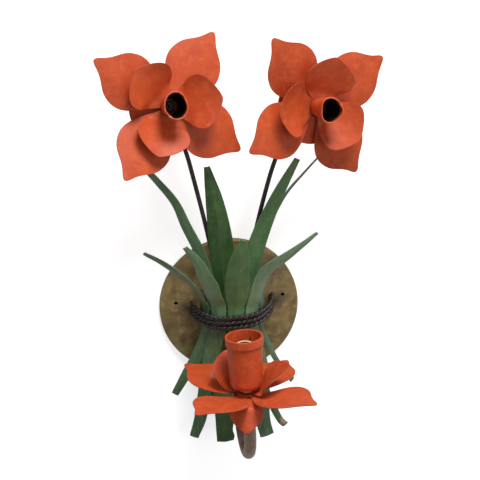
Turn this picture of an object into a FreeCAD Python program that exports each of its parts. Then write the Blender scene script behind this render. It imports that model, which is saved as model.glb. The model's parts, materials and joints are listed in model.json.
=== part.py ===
import FreeCAD, Part

import math
import os

from FreeCAD import Placement, Rotation, Vector

# A wall sconce of painted sheet steel: two daffodils on stems and a third that holds the lamp,
# with a bunch of strap leaves tied to a round wall plate by three hoops of twisted wire.
# Frame: the wall is the plane y = 0, the object stands out towards -Y, +Z is up, +X is right.
# The origin is the centre of the plate's back edge. Lengths are in mm and angles in degrees.

doc = FreeCAD.newDocument("TorchSconce")
sheet = doc.addObject("Spreadsheet::Sheet", "Sizes")

SIZES = {
    # wall plate
    "plate_radius": 82.5,
    "plate_depth": 13.0,
    "plate_edge": 6.0,
    "plate_corner": 3.0,
    "plate_gauge": 1.5,
    "screw_spacing": 127.0,
    "screw_radius": 2.1,
    "screw_height": 9.5,
    "screw_turn": 2.5,
    # arm tube and its threaded ends
    "arm_drop": 34.0,
    "arm_radius": 7.0,
    "arm_bore": 5.5,
    "arm_back": 38.0,
    "arm_reach": 120.0,
    "arm_elbow": 20.0,
    "arm_bend_level": 112.0,
    "arm_lean": 3.4,
    "arm_yaw": 1.7,
    "thread_radius": 4.8,
    "thread_bore": 3.5,
    "nut_flats": 14.0,
    "nut_height": 5.0,
    "spigot_length": 9.0,
    "stud_spigot": 5.0,
    "collar_radius": 9.5,
    "collar_height": 3.0,
    # petals, the same in all three flowers
    "sheet_gauge": 1.0,
    "root_radius": 5.4,
    "tab_length": 6.0,
    "outer_length": 91.0,
    "outer_half": 31.0,
    "outer_root_half": 4.0,
    "outer_cup": -2.5,
    "inner_length": 54.5,
    "inner_half": 29.0,
    "inner_root_half": 7.0,
    "inner_cup": 6.5,
    "tip_half": 2.2,
    "dished_cup": 2.0,
    "front_half": 19.0,
    "front_root_half": 6.0,
    "front_cup": -8.0,
    "spacer_radius": 11.0,
    "spacer_height": 2.0,
    # flower heads on stems
    "calyx_radius": 42.0,
    "calyx_dish": 7.5,
    "stud_radius": 2.5,
    "stud_nut_flats": 8.0,
    "stud_nut_height": 4.0,
    "corona_base": 9.5,
    "corona_mouth": 15.0,
    "corona_length": 34.0,
    "stem_radius": 2.5,
    "left_neck": 16.0,
    "left_head_aside": 73.5,
    "left_head_reach": 78.0,
    "left_head_height": 258.4,
    "right_neck": 34.0,
    "right_head_aside": 87.0,
    "right_head_reach": 80.0,
    "right_head_height": 254.6,
    # lamp flower
    "lamp_disc_radius": 16.0,
    "lamp_level": -66.0,
    "cup_base_radius": 18.6,
    "cup_body_radius": 20.2,
    "cup_lip_radius": 21.5,
    "cup_lip_height": 9.0,
    "cup_corner": 7.0,
    "cup_height": 61.0,
    "cup_gauge": 1.2,
    # lamp socket
    "socket_radius": 9.5,
    "socket_below_lip": 9.0,
    "shell_bore": 6.0,
    "shell_gauge": 0.7,
    "shell_depth": 19.0,
    "well_depth": 4.0,
    "well_bore": 5.2,
    "web_thickness": 3.0,
    "chamber_bore": 5.4,
    "chamber_depth": 11.0,
    "contact_radius": 3.0,
    "contact_cap": 1.2,
    "contact_stem": 1.6,
    "contact_travel": 1.2,
    "running_gap": 0.05,
    "lead_radius": 1.2,
    # leaves, their band and the tie
    "leaf_gauge": 1.0,
    "leaf_crease": 11.0,
    "band_half_width": 38.0,
    "band_depth": 33.0,
    "band_shift": 3.0,
    "band_leg": 14.0,
    "band_height": 20.0,
    "band_gauge": 2.0,
    "tie_radius": 2.9,
    "tie_pitch": 5.9,
    "tie_left": 44.5,
    "tie_right": 50.5,
    "tie_level": 5.0,
}

for row, (alias, value) in enumerate(SIZES.items(), start=1):
    sheet.set("A%d" % row, alias)
    sheet.set("B%d" % row, str(value))
    sheet.setAlias("B%d" % row, alias)
doc.recompute()


def size(alias):
    return float(sheet.get(alias))


parts = []


def keep(obj, label, place=None):
    """Give a finished sub-part its name and its place."""
    obj.Label = label
    if place is not None:
        obj.Placement = place
    parts.append(obj)
    return obj


def solid_part(label, shape, place=None):
    obj = doc.addObject("Part::Feature", label)
    obj.Shape = shape
    return keep(obj, label, place)


def bind(obj, **formulas):
    for name, formula in formulas.items():
        obj.setExpression(name, formula)
    return obj


def cylinder(name, radius, height, level="0"):
    """A cylinder along its own Z whose foot is at the given level."""
    obj = doc.addObject("Part::Cylinder", name)
    bind(obj, Radius=radius, Height=height)
    obj.setExpression("Placement.Base.z", level)
    return obj


def cone(name, foot_radius, top_radius, height, level="0"):
    obj = doc.addObject("Part::Cone", name)
    bind(obj, Radius1=foot_radius, Radius2=top_radius, Height=height)
    obj.setExpression("Placement.Base.z", level)
    return obj


def cut(name, base, tool):
    obj = doc.addObject("Part::Cut", name)
    obj.Base = base
    obj.Tool = tool
    return obj


def fuse(name, *members):
    obj = doc.addObject("Part::MultiFuse", name)
    obj.Shapes = list(members)
    return obj


def ring(label, radius, bore, height, level, place):
    outer = cylinder(label + "_disc", radius, height, level)
    inner = cylinder(label + "_bore", bore, height, level)
    return keep(cut(label, outer, inner), label, place)


def rims(shape):
    """The numbers of a turned shape's round edges, from the lowest to the highest."""
    found = []
    for number, edge in enumerate(shape.Edges, start=1):
        box = edge.BoundBox
        if box.ZLength < 1e-3 and box.XLength > 1.0:
            found.append((box.ZMin, number))
    return [number for level, number in sorted(found)]


# ---------------------------------------------------------------- paths and tubes

def rounded_path(points, radii):
    """Straight runs through the points, joined by tangent arcs of the given radii."""
    edges = []
    start = points[0]
    for before, corner, after, radius in zip(points, points[1:], points[2:], radii):
        inward = (before - corner).normalize()
        outward = (after - corner).normalize()
        half_turn = (math.pi - inward.getAngle(outward)) / 2
        setback = radius * math.tan(half_turn)
        first = corner + inward * setback
        last = corner + outward * setback
        bisector = (inward + outward).normalize()
        centre = corner + bisector * (radius / math.cos(half_turn))
        middle = centre - bisector * radius
        if (first - start).Length > 1e-6:
            edges.append(Part.LineSegment(start, first).toShape())
        edges.append(Part.Arc(first, middle, last).toShape())
        start = last
    if (points[-1] - start).Length > 1e-6:
        edges.append(Part.LineSegment(start, points[-1]).toShape())
    return Part.Wire(edges)


def rod(points, radii, radius):
    path = rounded_path(points, radii)
    direction = points[1] - points[0]
    profile = Part.Wire([Part.Circle(points[0], direction, radius).toShape()])
    return path.makePipeShell([profile], True, True)


def easy_radii(points, share=0.45):
    """The largest arcs that the runs beside each corner leave room for."""
    radii = []
    for before, corner, after in zip(points, points[1:], points[2:]):
        inward = before - corner
        outward = after - corner
        half_turn = (math.pi - inward.getAngle(outward)) / 2
        radii.append(share * min(inward.Length, outward.Length) / math.tan(half_turn))
    return radii


# ---------------------------------------------------------------- wall plate

# The plate and what stands on it are made with +Z out of the wall, then turned to face -Y.
out_of_wall = Placement(Vector(), Rotation(Vector(1, 0, 0), 90))


def dome(name, inset):
    """A pressed dish as a full solid, its skin inset by a formula."""
    ball = doc.addObject("Part::Sphere", name + "_crown")
    rise = "(Sizes.plate_depth - Sizes.plate_edge)"
    ball_radius = "((Sizes.plate_radius ^ 2 + %s ^ 2) / (2 * %s))" % (rise, rise)
    bind(ball, Radius="%s - %s" % (ball_radius, inset))
    ball.setExpression("Placement.Base.z", "Sizes.plate_depth - " + ball_radius)
    wall = cylinder(name + "_wall", "Sizes.plate_radius - " + inset, "Sizes.plate_depth")
    body = doc.addObject("Part::Common", name + "_blank")
    body.Base = ball
    body.Tool = wall
    doc.recompute()
    shoulder = rims(body.Shape)[-1]
    corner = size("plate_corner")
    if inset != "0":
        corner = max(corner - size("plate_gauge"), 0.5)
    rounded = doc.addObject("Part::Fillet", name)
    rounded.Base = body
    rounded.Edges = [(shoulder, corner, corner)]
    doc.recompute()
    return rounded


plate_fill = dome("plate_front", "0")
plate_hollow = dome("plate_back", "Sizes.plate_gauge")


def screw_hole(side):
    hole = cylinder("screw_hole_%d" % (side + 2), "Sizes.screw_radius", "Sizes.plate_depth")
    reach = "%d * Sizes.screw_spacing / 2" % side
    hole.setExpression("Placement.Base.x", reach + " * cos(Sizes.screw_turn * 1 deg)")
    hole.setExpression(
        "Placement.Base.y",
        "Sizes.screw_height + " + reach + " * sin(Sizes.screw_turn * 1 deg)",
    )
    return hole


lean = Rotation(Vector(0, 0, 1), size("arm_yaw")).multiply(
    Rotation(Vector(0, 1, 0), -size("arm_lean"))
)
arm_place = Placement(Vector(), lean)
arm_foot = lean.multVec(Vector(0, -size("plate_depth"), -size("arm_drop")))

arm_hole = cylinder("arm_hole", "Sizes.thread_radius + 0.4", "Sizes.plate_depth")
arm_hole.Placement.Base = Vector(arm_foot.x, arm_foot.z, 0)

plate_sheet = cut("plate_sheet", plate_fill, plate_hollow)
plate_holes = fuse("plate_holes", screw_hole(-1), screw_hole(1), arm_hole)
keep(cut("wall_plate", plate_sheet, plate_holes), "wall_plate", out_of_wall)
doc.recompute()

fill_shape = plate_fill.Shape.copy()
fill_shape.Placement = out_of_wall
plate_shape = doc.getObject("wall_plate").Shape


def plate_face(x, z):
    """The y of the plate's front face at a place on it."""
    rise = size("plate_depth") - size("plate_edge")
    ball_radius = (size("plate_radius") ** 2 + rise ** 2) / (2 * rise)
    drop = ball_radius - math.sqrt(ball_radius ** 2 - x ** 2 - z ** 2)
    return drop - size("plate_depth")


# ---------------------------------------------------------------- arm

# The arm is made upright in the plane x = 0 and leans with arm_place.
arm_y = -size("arm_back")
leg_y = -size("arm_reach")
arm_z = -size("arm_drop")
bend_radius = (size("arm_reach") - size("arm_back")) / 2
bottom_z = -size("arm_bend_level") - bend_radius
arm_top = size("lamp_level") - size("collar_height")


def arm_route(foot, top, aside=0.0):
    """The line of the arm, shifted sideways for what runs inside it."""
    points = [
        Vector(aside, foot, arm_z),
        Vector(aside, arm_y, arm_z),
        Vector(aside, arm_y, bottom_z),
        Vector(aside, leg_y, bottom_z),
        Vector(aside, leg_y, top),
    ]
    return points, [size("arm_elbow"), bend_radius, bend_radius]


def local(shape):
    """The same world shape, seen from the leaning frame of the arm."""
    copy = shape.copy()
    copy.Placement = arm_place.inverse().multiply(copy.Placement)
    return copy


arm_skin = rod(*arm_route(-size("plate_edge"), arm_top), size("arm_radius"))
arm_core = rod(*arm_route(-1.0, arm_top + 1.0), size("arm_bore"))
solid_part("arm_tube", arm_skin.cut(arm_core).cut(local(fill_shape)), arm_place)


def round_bar(radius, start, end, x=0.0, z=0.0):
    """A cylinder along Y between two y values."""
    return Part.makeCylinder(radius, abs(end - start), Vector(x, max(start, end), z), Vector(0, -1, 0))


stud_end = -3.0
stud_seat = plate_face(arm_foot.x, arm_foot.z)
spigot_end = stud_seat - size("stud_spigot")
arm_stud = round_bar(size("thread_radius"), stud_end, spigot_end, z=arm_z)
spigot = round_bar(size("arm_bore"), stud_seat - 0.5, spigot_end, z=arm_z)
stud_bore = round_bar(size("thread_bore"), 0, spigot_end, z=arm_z)
arm_stud = arm_stud.fuse(spigot).cut(stud_bore)
solid_part("arm_stud", arm_stud.removeSplitter(), arm_place)


def hexagon(flats, height, base, direction, bore):
    """A hexagon nut as a plain bored prism."""
    side = Vector(flats / 2 / math.cos(math.pi / 6), 0, 0)
    corners = [base + Rotation(direction, 60.0 * step).multVec(side) for step in range(7)]
    prism = Part.Face(Part.makePolygon(corners)).extrude(direction * height)
    return prism.cut(Part.makeCylinder(bore, height, base, direction)).Solids[0]


nut_face = stud_seat + size("plate_gauge")
arm_nut = hexagon(
    size("nut_flats"),
    size("nut_height") + 1.0,
    Vector(0, nut_face + size("nut_height"), arm_z),
    Vector(0, -1, 0),
    size("thread_radius"),
)
nut_solids = arm_nut.cut(local(plate_shape)).Solids
solid_part("arm_nut", max(nut_solids, key=lambda solid: solid.Volume), arm_place)

lamp_axis = arm_place.multiply(Placement(Vector(0, leg_y, 0), Rotation()))

collar = Part.makeCylinder(size("collar_radius"), size("collar_height"), Vector(0, leg_y, arm_top))
collar_spigot = Part.makeCylinder(
    size("arm_bore"), size("spigot_length"), Vector(0, leg_y, arm_top - size("spigot_length"))
)
collar_bore = Part.makeCylinder(
    size("thread_radius"),
    size("spigot_length") + size("collar_height"),
    Vector(0, leg_y, arm_top - size("spigot_length")),
)
solid_part("arm_collar", collar.fuse(collar_spigot).cut(collar_bore).removeSplitter(), arm_place)

# ---------------------------------------------------------------- petals

def ease(share):
    share = min(max(share, 0.0), 1.0)
    return share * share * (3 - 2 * share)


OUTER = {
    "length": size("outer_length"),
    "half": size("outer_half"),
    "root": size("outer_root_half"),
    "cup": size("outer_cup"),
    "widest": 0.50,
    "waist": 0.09,
    "fullness": 1.0,
    "flare": 1.25,
}
INNER = {
    "length": size("inner_length"),
    "half": size("inner_half"),
    "root": size("inner_root_half"),
    "cup": size("inner_cup"),
    "widest": 0.58,
    "waist": 0.0,
    "fullness": 0.88,
    "flare": 1.0,
}
# the lamp flower's outer petals are dished the other way, and its front petal is narrower
DISHED = dict(OUTER, cup=size("dished_cup"))
FRONT = dict(INNER, half=size("front_half"), root=size("front_root_half"), cup=size("front_cup"))


def petal_half_width(kind, along):
    """Half the width of the flat blank at a distance along it."""
    widest = kind["widest"] * kind["length"]
    if along <= widest:
        grown = math.sin(math.pi / 2 * along / widest) ** kind["flare"]
        return kind["root"] + (kind["half"] - kind["root"]) * grown
    left = kind["length"] - along
    share = left / (kind["length"] - widest)
    shrunk = math.sin(math.pi / 2 * share ** kind["fullness"])
    dip = kind["waist"] * math.sin(math.pi * min(share / 0.62, 1.0)) ** 2
    rounding = math.exp(-left / 6) * (1 - 0.6 * math.exp(-left / 1.2))
    return kind["half"] * (shrunk - dip) + size("tip_half") * rounding


def petal_line(kind, lift, curl, along):
    """Slope of the petal's midline at a distance along it, in radians."""
    tab = size("tab_length")
    start = ease((along - tab) / (0.16 * kind["length"]))
    share = along / kind["length"]
    return math.radians(start * (lift + curl * (1 - 2 * share)))


def bowed_edge(left, middle, right):
    bow = Part.BezierCurve()
    bow.setPoles([left, middle * 2 - (left + right) * 0.5, right])
    return bow.toShape()


def petal_section(kind, along, x, z, slope):
    gauge = size("sheet_gauge")
    half = petal_half_width(kind, along)
    past_tab = ease((along - size("tab_length")) / (0.3 * kind["length"]))
    sag = kind["cup"] * past_tab * (half / kind["half"]) ** 2
    normal = Vector(-math.sin(slope), 0, math.cos(slope))
    middle = Vector(x, 0, z)
    rim = middle + normal * sag
    top = [rim + Vector(0, -half, 0), middle, rim + Vector(0, half, 0)]
    under = [point - normal * gauge for point in top]
    return Part.Wire(
        [
            bowed_edge(*top),
            Part.LineSegment(top[2], under[2]).toShape(),
            bowed_edge(under[2], under[1], under[0]),
            Part.LineSegment(under[0], top[0]).toShape(),
        ]
    )


def petal_stations(kind, shares):
    """Distances along a blank: evenly over the flat tab, then by shares of the rest."""
    tab = size("tab_length")
    rest = kind["length"] - tab
    return [0.0, tab / 3, tab * 2 / 3, tab] + [tab + rest * share for share in shares]


def petal(kind, lift, curl):
    """A petal that runs out along X from its root tab, its front face up."""
    x, z, along = size("root_radius"), size("sheet_gauge"), 0.0
    sections = []
    shares = [0.03, 0.06, 0.1, 0.15, 0.21, 0.28, 0.37, 0.47, 0.58, 0.69, 0.79, 0.88, 0.94, 0.97, 0.985, 1.0]
    for station in petal_stations(kind, shares):
        steps = max(1, int(math.ceil(station - along)))
        step = (station - along) / steps
        for _ in range(steps):
            slope = petal_line(kind, lift, curl, along + step / 2)
            x += step * math.cos(slope)
            z += step * math.sin(slope)
            along += step
        sections.append(petal_section(kind, station, x, z, petal_line(kind, lift, curl, station)))
    return Part.makeLoft(sections, True, False)


def folded_petal(kind, rise, fold_at, fold_slope):
    """A petal that runs out and is folded down across its middle."""
    x, z, along = size("root_radius"), size("sheet_gauge"), 0.0

    def slope_at(distance):
        start = ease((distance - size("tab_length")) / (0.16 * kind["length"]))
        fold = ease((distance / kind["length"] - fold_at) / 0.14 + 0.5)
        return math.radians(start * rise * (1 - fold) + fold_slope * fold)

    shares = [0.04, 0.08, 0.13, 0.2, 0.28, 0.34, 0.40, 0.46, 0.52, 0.6, 0.7, 0.8, 0.9, 0.96, 1.0]
    sections = []
    for station in petal_stations(kind, shares):
        steps = max(1, int(math.ceil((station - along) * 2)))
        step = (station - along) / steps
        for _ in range(steps):
            slope = slope_at(along + step / 2)
            x += step * math.cos(slope)
            z += step * math.sin(slope)
            along += step
        sections.append(petal_section(kind, station, x, z, slope_at(station)))
    return Part.makeLoft(sections, True, False)


def whorl_place(flower, level, azimuth):
    turn = Placement(Vector(0, 0, level), Rotation(Vector(0, 0, 1), azimuth))
    return flower.multiply(turn)


def head_place(hub, azimuth, elevation):
    """A flower's frame: X to its right, Y to its top, Z out of its face."""
    facing = Rotation(Vector(0, 0, 1), azimuth).multiply(Rotation(Vector(1, 0, 0), 90 - elevation))
    return Placement(hub, facing)


# Every petal has its own bearing, lift and curl, because they were bent by hand.
HEADS = {
    "left": {
        "hub": Vector(
            -size("left_head_aside"), -size("left_head_reach"), size("left_head_height")
        ),
        "azimuth": 8.0,
        "elevation": 14.0,
        "outer": {
            "upper_left": (146, 10, 8),
            "upper_right": (54, -3, 10),
            "lower_right": (-33, -8, 10),
            "lower_left": (233, 15, -4),
        },
        "inner": {"upper": (134, 29, 6), "right": (6, 29, 6), "lower": (250, 27, 8)},
        # the stem from its neck down to its foot on the plate
        "stem": [
            Vector(-54, -50, 207),
            Vector(-30, -39, 110),
            Vector(-14, -27, 30),
            Vector(-14, -27, -4),
        ],
    },
    "right": {
        "hub": Vector(
            size("right_head_aside"), -size("right_head_reach"), size("right_head_height")
        ),
        "azimuth": 16.0,
        "elevation": 5.0,
        "outer": {
            "upper_left": (125, 10, 8),
            "upper_right": (30, 0, 10),
            "lower_right": (-56, -7, 10),
            "lower_left": (205, 11, 4),
        },
        "inner": {"upper": (74, 26, 6), "left": (178, 29, 6), "lower_right": (-42, 25, 6)},
        "stem": [
            Vector(48.6, -40, 190),
            Vector(33, -39, 131),
            Vector(15, -29, 40),
            Vector(13, -27, -4),
        ],
    },
}

# hand-cut sheets lie on each other with a hair's breadth between them
sheet_step = size("sheet_gauge") + size("running_gap")
inner_level = sheet_step + size("spacer_height") + size("running_gap")
corona_level = "(2 * Sizes.sheet_gauge + Sizes.spacer_height + 3 * Sizes.running_gap)"


def add_petal(label, blank, place):
    solid_part(label, blank.transformed(place.toMatrix(), True))


def add_whorls(name, floor, outer_kind, outer, inner):
    """The petals that stand on a floor at level 0, with a spacer between the two whorls."""
    for which, (azimuth, lift, curl) in outer.items():
        blank = petal(outer_kind, lift, curl)
        add_petal("%s_petal_%s" % (name, which), blank, whorl_place(floor, 0, azimuth))
    ring(
        name + "_spacer",
        "Sizes.spacer_radius",
        "Sizes.root_radius",
        "Sizes.spacer_height",
        "(Sizes.sheet_gauge + Sizes.running_gap)",
        floor,
    )
    for which, (azimuth, lift, curl) in inner.items():
        blank = petal(INNER, lift, curl)
        place = whorl_place(floor, inner_level, azimuth)
        add_petal("%s_inner_petal_%s" % (name, which), blank, place)


def add_corona(label, place):
    """The trumpet: a tapered tube of sheet with a bored floor."""
    skin = cone(
        label + "_skin",
        "Sizes.corona_base",
        "Sizes.corona_mouth",
        "Sizes.corona_length",
        corona_level,
    )
    room = cone(
        label + "_room",
        "Sizes.corona_base - Sizes.sheet_gauge",
        "Sizes.corona_mouth - Sizes.sheet_gauge",
        "Sizes.corona_length",
        corona_level + " + Sizes.sheet_gauge",
    )
    hole = cylinder(label + "_hole", "Sizes.stud_radius", "Sizes.corona_length / 2", corona_level)
    keep(cut(label, cut(label + "_shell", skin, room), hole), label, place)


def add_calyx(label, place):
    """The round sheet behind the petals: flat in the middle, its rim dished to the back."""
    flat = "Sizes.spacer_radius"
    slope = ("Sizes.calyx_radius", flat, "Sizes.calyx_dish")
    crown = cone(label + "_crown", *slope, "-Sizes.calyx_dish")
    rim = cylinder(
        label + "_rim",
        "Sizes.calyx_radius",
        "Sizes.sheet_gauge",
        "-Sizes.calyx_dish - Sizes.sheet_gauge",
    )
    room = cone(label + "_room", *slope, "-Sizes.calyx_dish - Sizes.sheet_gauge")
    hole = cylinder(label + "_hole", "Sizes.stud_radius", "Sizes.calyx_dish", "-Sizes.calyx_dish")
    skin = fuse(label + "_skin", crown, rim)
    keep(cut(label, cut(label + "_dish", skin, room), hole), label, place)


stud_nuts = []

for name, head in HEADS.items():
    flower = head_place(head["hub"], head["azimuth"], head["elevation"])
    add_calyx(name + "_calyx", flower)
    add_whorls(name, flower, OUTER, head["outer"], head["inner"])
    add_corona(name + "_corona", flower)
    stud_length = "4 * Sizes.sheet_gauge + Sizes.spacer_height + Sizes.stud_nut_height + 1"
    shank = cylinder(name + "_shank", "Sizes.stud_radius", stud_length, "-Sizes.sheet_gauge")
    tip_level = stud_length + " - Sizes.sheet_gauge"
    tip = cone(name + "_tip", "Sizes.stud_radius", "0.7 * Sizes.stud_radius", "1", tip_level)
    keep(fuse(name + "_stud", shank, tip), name + "_stud", flower)

    nut_seat = inner_level + 2 * sheet_step
    nut = hexagon(
        size("stud_nut_flats"),
        size("stud_nut_height"),
        Vector(0, 0, nut_seat),
        Vector(0, 0, 1),
        size("stud_radius"),
    )
    stud_nuts.append(nut.transformed(flower.toMatrix(), True))

    behind = flower.Rotation.multVec(Vector(0, 0, -1))
    stem_top = head["hub"] + behind * size("sheet_gauge")
    neck = stem_top + behind * size(name + "_neck")
    foot = head["stem"][-1]
    route = [stem_top, neck] + head["stem"] + [Vector(foot.x, -size("plate_edge"), foot.z)]
    stem = rod(route, easy_radii(route), size("stem_radius"))
    solid_part(name + "_stem", stem.cut(fill_shape))

solid_part("stud_nuts", Part.makeCompound(stud_nuts))

# ---------------------------------------------------------------- lamp flower

lamp_hub = lamp_axis.multiply(Placement(Vector(0, 0, size("lamp_level")), Rotation()))
ring(
    "lamp_disc",
    "Sizes.lamp_disc_radius",
    "Sizes.thread_radius",
    "Sizes.sheet_gauge",
    "0",
    lamp_hub,
)


def above_disc(sheets):
    """A floor for petals, some sheets above the back of the lamp's disc."""
    return lamp_hub.multiply(Placement(Vector(0, 0, sheets * sheet_step), Rotation()))


add_petal(
    "lamp_inner_petal_front",
    folded_petal(FRONT, -6, 0.50, -62),
    whorl_place(above_disc(1), 0, 258),
)
LAMP_OUTER = {
    "back_left": (130, 10, 4),
    "back_right": (52, 2, 6),
    "front_left": (226, 11, 4),
    "front_right": (-47, 8, 6),
}
LAMP_INNER = {"back": (114, 55, 10), "right": (-11, 44, 10)}
add_whorls("lamp", above_disc(2), DISHED, LAMP_OUTER, LAMP_INNER)

# levels above the wall origin along the lamp's axis
nut_level = size("lamp_level") + 3 * sheet_step + inner_level
cup_level = nut_level + size("nut_height")
cup_floor = cup_level + size("cup_gauge")
lip_level = cup_level + size("cup_height")
socket_top = lip_level - size("socket_below_lip")
socket_foot = cup_floor + size("nut_height")
shell_foot = socket_top - size("shell_depth")
well_foot = shell_foot - size("well_depth")
chamber_top = well_foot - size("web_thickness")
chamber_foot = chamber_top - size("chamber_depth")
nipple_foot = arm_top - size("spigot_length")


def nut_on_nipple(level):
    return hexagon(
        size("nut_flats"),
        size("nut_height"),
        Vector(0, leg_y, level),
        Vector(0, 0, 1),
        size("thread_radius"),
    )


def turned(radius, bottom, top):
    """A cylinder on the lamp's axis between two levels."""
    return Part.makeCylinder(radius, top - bottom, Vector(0, leg_y, bottom))


nuts = Part.makeCompound(
    [
        nut_on_nipple(nut_level),
        nut_on_nipple(cup_floor),
    ]
)
solid_part("nipple_nuts", nuts, arm_place)

nipple = turned(size("thread_radius"), nipple_foot, chamber_foot)
solid_part("lamp_nipple", nipple.cut(turned(size("thread_bore"), nipple_foot, chamber_foot)), arm_place)

# the cup: a tapered body with a rounded foot and a turned-over lip
cup_place = lamp_axis.multiply(Placement(Vector(0, 0, cup_level), Rotation()))


def cup_blank(name, inset, foot):
    """The cup's outside, or with an inset the room inside it."""
    body = cone(
        name + "_body",
        "Sizes.cup_base_radius - " + inset,
        "Sizes.cup_body_radius - " + inset,
        "Sizes.cup_height - " + foot,
        foot,
    )
    doc.recompute()
    foot_rim = rims(body.Shape)[0]
    corner = size("cup_corner") - (0 if inset == "0" else size("cup_gauge"))
    rounded = doc.addObject("Part::Fillet", name)
    rounded.Base = body
    rounded.Edges = [(foot_rim, corner, corner)]
    doc.recompute()
    return rounded


cup_outside = cup_blank("cup_outside", "0", "0")
cup_room = cup_blank("cup_room", "Sizes.cup_gauge", "Sizes.cup_gauge")
lip = cylinder(
    "cup_lip",
    "Sizes.cup_lip_radius",
    "Sizes.cup_lip_height",
    "Sizes.cup_height - Sizes.cup_lip_height",
)
cup_hole = cylinder("cup_hole", "Sizes.thread_radius", "2 * Sizes.cup_gauge")
cup_mass = fuse("cup_mass", cup_outside, lip)
cup_cuts = fuse("cup_cuts", cup_room, cup_hole)
keep(cut("lamp_cup", cup_mass, cup_cuts), "lamp_cup", cup_place)

gap = size("running_gap")
shell_radius = size("shell_bore") + size("shell_gauge")
body = turned(size("socket_radius"), socket_foot, socket_top)
body = body.cut(turned(size("thread_radius"), socket_foot, chamber_foot))
body = body.cut(turned(shell_radius, shell_foot, socket_top))
body = body.cut(turned(size("well_bore"), well_foot, shell_foot))
body = body.cut(turned(size("chamber_bore"), chamber_foot, chamber_top))
body = body.cut(turned(size("contact_stem") + gap, chamber_top, socket_top))
solid_part("socket_body", body, arm_place)

shell = turned(shell_radius, shell_foot, socket_top)
solid_part("screw_shell", shell.cut(turned(size("shell_bore"), shell_foot, socket_top)), arm_place)

# The middle contact is pressed down by the lamp: a cap, a stem in the web and a stop under it.
cap_foot = well_foot + 2 * size("contact_travel")
stop_top = chamber_top - gap
contact = turned(size("contact_radius"), cap_foot, cap_foot + size("contact_cap"))
contact = contact.fuse(turned(size("contact_stem"), stop_top - size("contact_cap"), cap_foot))
contact = contact.fuse(turned(size("contact_radius"), stop_top - size("contact_cap"), stop_top))
solid_part("centre_contact", contact.removeSplitter(), arm_place)

# the two insulated leads lie against the bore of the nipples, from the socket to the wall box
lead_top = chamber_foot + size("contact_cap")
aside = size("thread_bore") - size("lead_radius")
for label, side in (("lead_live", -1), ("lead_neutral", 1)):
    lead = rod(*arm_route(stud_end, lead_top, side * aside), size("lead_radius"))
    solid_part(label, lead, arm_place)

# ---------------------------------------------------------------- leaf band and tie

band_front = -size("band_leg") - size("band_depth")


def band_prism(inset, height):
    """A half ellipse with straight legs back to the wall, as an upright block."""
    half = size("band_half_width") - inset
    depth = size("band_depth") - inset
    centre = Vector(size("band_shift"), -size("band_leg"), -0.6 * height)
    right = centre + Vector(half, 0, 0)
    left = centre - Vector(half, 0, 0)
    if half > depth:
        curve = Part.Ellipse(centre, half, depth)
        bow = Part.ArcOfEllipse(curve, math.pi, 2 * math.pi).toShape()
    else:
        curve = Part.Ellipse(centre - Vector(0, depth, 0), right, centre)
        bow = Part.ArcOfEllipse(curve, -math.pi / 2, math.pi / 2).toShape()
    back = Vector(0, size("band_leg") - 1.0, 0)
    sides = [
        Part.LineSegment(right, right + back).toShape(),
        Part.LineSegment(right + back, left + back).toShape(),
        Part.LineSegment(left + back, left).toShape(),
    ]
    return Part.Face(Part.Wire(Part.__sortEdges__([bow] + sides))).extrude(Vector(0, 0, height))


band_height = size("band_height")
band = band_prism(0, band_height).cut(band_prism(size("band_gauge"), band_height)).cut(fill_shape)
solid_part("leaf_band", band)

crease = math.tan(math.radians(size("leaf_crease")))


def band_point(bearing, outside):
    """Where a leaf crosses the band, and the way that its face looks there."""
    turn = math.radians(bearing)
    inset = 0.0 if outside else size("band_gauge")
    half = size("band_half_width") - inset
    depth = size("band_depth") - inset
    normal = Vector(math.sin(turn) / half, -math.cos(turn) / depth, 0).normalize()
    point = Vector(
        size("band_shift") + half * math.sin(turn), -size("band_leg") - depth * math.cos(turn), 0
    )
    return point, normal


def leaf_rise(half):
    """How far the crease of a leaf outside the band stands off it."""
    return size("leaf_gauge") + 0.6 * crease * half - 0.2


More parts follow.
